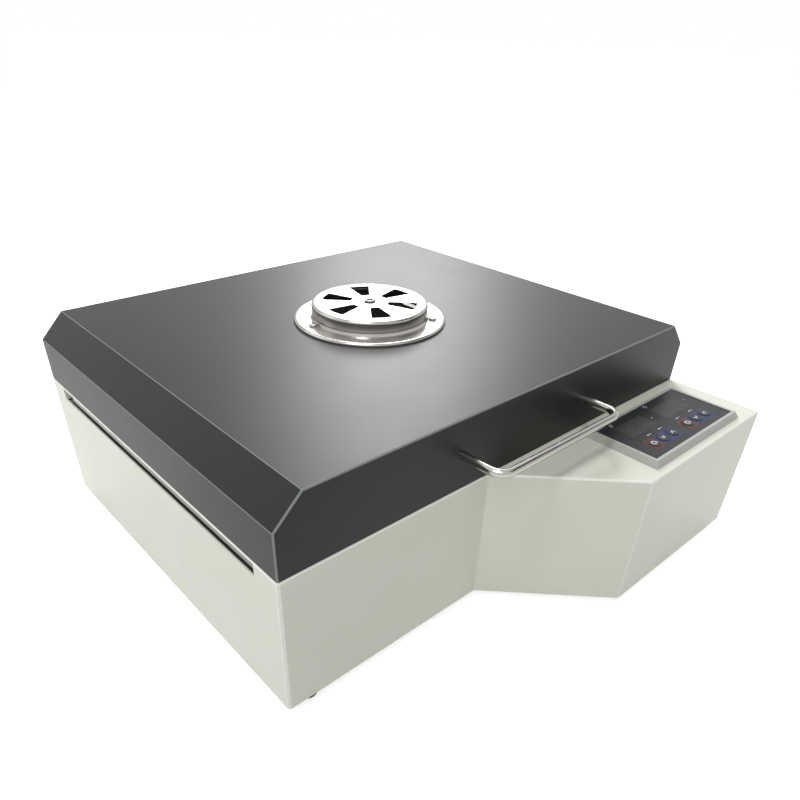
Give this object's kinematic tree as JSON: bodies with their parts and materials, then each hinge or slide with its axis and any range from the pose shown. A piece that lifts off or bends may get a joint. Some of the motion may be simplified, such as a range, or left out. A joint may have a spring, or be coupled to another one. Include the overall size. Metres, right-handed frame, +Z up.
{
  "type": "curing oven",
  "caption": "Tabletop curing oven: a folded steel base with a control pod, a film slot in its side, and a hinged chamfered lid with a round vent and a bar handle.",
  "frame": {"origin": "on the floor, under the middle of the whole oven", "axes": "+Z up, the lid handle and control pod at the -Y side, the film slot at the -X side"},
  "size_m": [0.5464, 0.552, 0.2403],
  "materials": {
    "base_paint": "fine-textured powder coat, satin",
    "lid_paint": "charcoal powder coat, satin",
    "bare_steel": "rolled sheet",
    "polished_steel": "polished",
    "rack_steel": "drawn wire",
    "zinc_steel": "zinc plated",
    "heater_sheath": "heat tinted",
    "ceramic": "unglazed ceramic",
    "terminal_steel": "nickel plated",
    "ceramic_fibre": "fibre blanket",
    "foot_rubber": "matte",
    "bezel_plastic": "satin silver",
    "face_film": "satin printed film",
    "display_window": "smoked",
    "key_plastic": "embossed film",
    "housing_plastic": "moulded",
    "rocker_plastic": "gloss",
    "circuit_board": "lacquered laminate",
    "sink_aluminium": "extruded"
  },
  "bodies": {
    "base": {"base_casing": "base_paint", "pod_side_panel": "base_paint", "left_side_panel": "base_paint", "right_side_panel": "base_paint", "back_panel": "base_paint", "bottom_plate": "bare_steel", "chamber_liner": "bare_steel", "chamber_walls": "bare_steel", "slot_shield": "bare_steel", "chamber_brackets": "bare_steel", "heater_supports": "bare_steel", "rack_ledges": "bare_steel", "controller_clips": "bare_steel", "film_rack": "rack_steel", "bottom_plate_screws": "zinc_steel", "foot_screws": "zinc_steel", "base_hinge_screws": "zinc_steel", "inlet_screws": "zinc_steel", "base_hinge_leaves": "zinc_steel", "hinge_pins": "zinc_steel", "heater_tubes": "heater_sheath", "temperature_probe": "heater_sheath", "heater_bushings": "ceramic", "heater_terminals": "terminal_steel", "inlet_pins": "terminal_steel", "chamber_insulation": "ceramic_fibre", "rubber_feet": "foot_rubber", "controller_bezel": "bezel_plastic", "controller_face": "face_film", "temperature_display": "display_window", "timer_display": "display_window", "controller_housing": "housing_plastic", "terminal_block": "housing_plastic", "power_inlet": "housing_plastic", "switch_body": "housing_plastic", "solid_state_relay": "housing_plastic", "controller_board": "circuit_board", "heat_sink": "sink_aluminium"},
    "lid": {"lid_shell": "lid_paint", "lid_liner": "bare_steel", "lid_liner_rails": "bare_steel", "lid_liner_screws": "zinc_steel", "lid_insulation": "ceramic_fibre", "vent_duct": "bare_steel", "vent_flange": "polished_steel", "vent_screws": "polished_steel", "vent_cap": "polished_steel", "vent_rivet": "polished_steel", "handle": "polished_steel", "handle_screws": "zinc_steel", "lid_hinge_leaves": "zinc_steel", "lid_hinge_screws": "zinc_steel"},
    "shutter": {"vent_shutter": "polished_steel"},
    "rocker": {"switch_rocker": "rocker_plastic"},
    "temperature_set_key_cap": {"temperature_set_key": "key_plastic"},
    "temperature_down_key_cap": {"temperature_down_key": "key_plastic"},
    "temperature_up_key_cap": {"temperature_up_key": "key_plastic"},
    "timer_set_key_cap": {"timer_set_key": "key_plastic"},
    "timer_down_key_cap": {"timer_down_key": "key_plastic"},
    "timer_up_key_cap": {"timer_up_key": "key_plastic"}
  },
  "joints": [
    {"name": "lid_hinge", "type": "hinge", "parent": "base", "child": "lid", "pos_m": [-0.00244, 0.26812, 0.15], "axis": [-1, 0, 0], "range_deg": [0, 100]},
    {"name": "vent_shutter_turn", "type": "hinge", "parent": "lid", "child": "shutter", "pos_m": [-0.00244, 0.04472, 0.2374], "axis": [0, 0, 1], "range_deg": [-6.2, 6.2]},
    {"name": "power_rocker", "type": "hinge", "parent": "base", "child": "rocker", "pos_m": [0.26531, -0.19403, 0.052], "axis": [0, 1, 0], "range_deg": [0, 18]},
    {"name": "temperature_set_key_press", "type": "slide", "parent": "base", "child": "temperature_set_key_cap", "axis": [0, 0, -1], "range_m": [0, 0.0006], "stiffness_N_per_m": 400},
    {"name": "temperature_down_key_press", "type": "slide", "parent": "base", "child": "temperature_down_key_cap", "axis": [0, 0, -1], "range_m": [0, 0.0006], "stiffness_N_per_m": 400},
    {"name": "temperature_up_key_press", "type": "slide", "parent": "base", "child": "temperature_up_key_cap", "axis": [0, 0, -1], "range_m": [0, 0.0006], "stiffness_N_per_m": 400},
    {"name": "timer_set_key_press", "type": "slide", "parent": "base", "child": "timer_set_key_cap", "axis": [0, 0, -1], "range_m": [0, 0.0006], "stiffness_N_per_m": 400},
    {"name": "timer_down_key_press", "type": "slide", "parent": "base", "child": "timer_down_key_cap", "axis": [0, 0, -1], "range_m": [0, 0.0006], "stiffness_N_per_m": 400},
    {"name": "timer_up_key_press", "type": "slide", "parent": "base", "child": "timer_up_key_cap", "axis": [0, 0, -1], "range_m": [0, 0.0006], "stiffness_N_per_m": 400}
  ]
}
